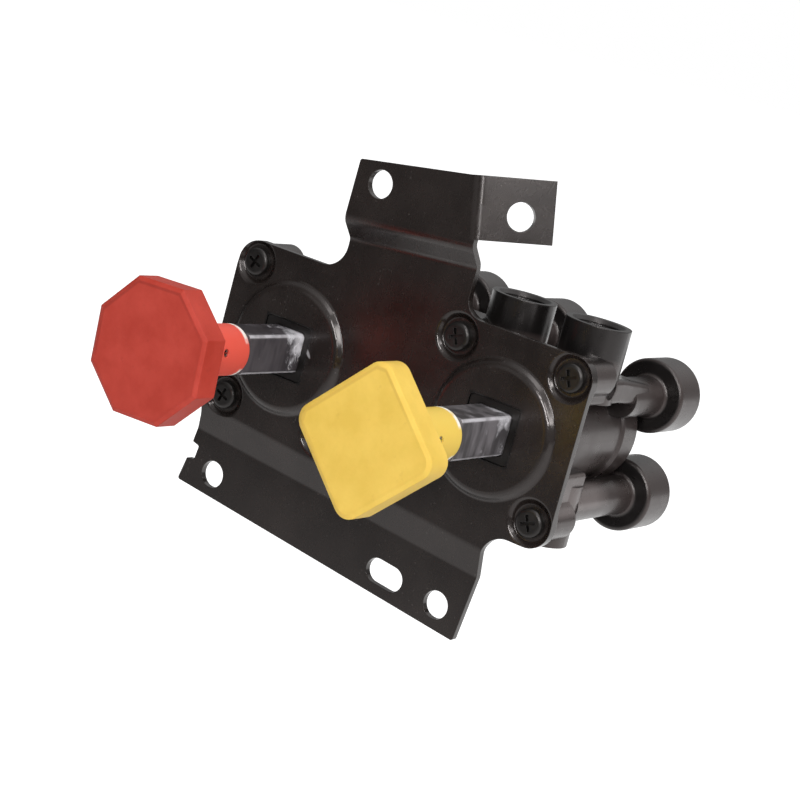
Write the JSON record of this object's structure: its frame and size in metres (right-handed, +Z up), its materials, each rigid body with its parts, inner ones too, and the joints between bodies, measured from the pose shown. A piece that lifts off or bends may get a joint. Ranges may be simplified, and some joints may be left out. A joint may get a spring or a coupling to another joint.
{
  "type": "dash control valve",
  "caption": "Dash-mounted air control valve with an octagonal red button and a square yellow button on square stems, a black cover plate with bolting flanges, and threaded ports.",
  "frame": {"origin": "on the front face of the cover plate's flat field, midway between the two button axes", "axes": "+X to the right from the red button towards the yellow one, +Y back into the dash along the button travel, +Z up"},
  "size_m": [0.1426, 0.1485, 0.144],
  "materials": {
    "black_sheet": "satin black enamel on pressed sheet",
    "black_screw": "black coated, slightly worn",
    "gasket_fibre": "matt",
    "black_casting": "gloss black enamel on a casting",
    "red_plastic": "moulded, faintly mottled",
    "yellow_plastic": "moulded, faintly mottled",
    "stem_metal": "grey, smeared with grease",
    "guide_plastic": "black moulding",
    "aluminium": "turned",
    "seal_rubber": "smooth",
    "steel": "plated",
    "brass": "turned"
  },
  "bodies": {
    "housing": {"cover_plate": "black_sheet", "cover_screws": "black_screw", "cover_gasket": "gasket_fibre", "valve_body": "black_casting", "shuttle_seat_near": "brass", "shuttle_seat_far": "brass", "gallery_plug": "steel", "gallery_plug_seal": "seal_rubber", "red_stem_guide": "guide_plastic", "red_sleeve": "brass", "red_sleeve_seals": "seal_rubber", "red_spring": "steel", "yellow_stem_guide": "guide_plastic", "yellow_sleeve": "brass", "yellow_sleeve_seals": "seal_rubber", "yellow_spring": "steel"},
    "red_plunger": {"red_knob": "red_plastic", "red_knob_pin": "steel", "red_stem": "stem_metal", "red_piston": "aluminium", "red_piston_seal": "seal_rubber", "red_spool": "aluminium", "red_spool_seals": "seal_rubber", "red_stem_nut": "steel"},
    "yellow_plunger": {"yellow_knob": "yellow_plastic", "yellow_knob_pin": "steel", "yellow_stem": "stem_metal", "yellow_piston": "aluminium", "yellow_piston_seal": "seal_rubber", "yellow_spool": "aluminium", "yellow_spool_seals": "seal_rubber", "yellow_stem_nut": "steel"},
    "shuttle": {"shuttle_disc": "seal_rubber"}
  },
  "joints": [
    {"name": "red_push", "type": "slide", "parent": "housing", "child": "red_plunger", "axis": [0, 1, 0], "range_m": [0, 0.0127], "stiffness_N_per_m": 1400, "springref_m": -0.012, "deforming": ["red_spring"]},
    {"name": "yellow_push", "type": "slide", "parent": "housing", "child": "yellow_plunger", "axis": [0, 1, 0], "range_m": [0, 0.0127], "stiffness_N_per_m": 1400, "springref_m": -0.012, "deforming": ["yellow_spring"]},
    {"name": "shuttle_slide", "type": "slide", "parent": "housing", "child": "shuttle", "axis": [1, 0, 0], "range_m": [-0.00195, 0.00195]}
  ]
}
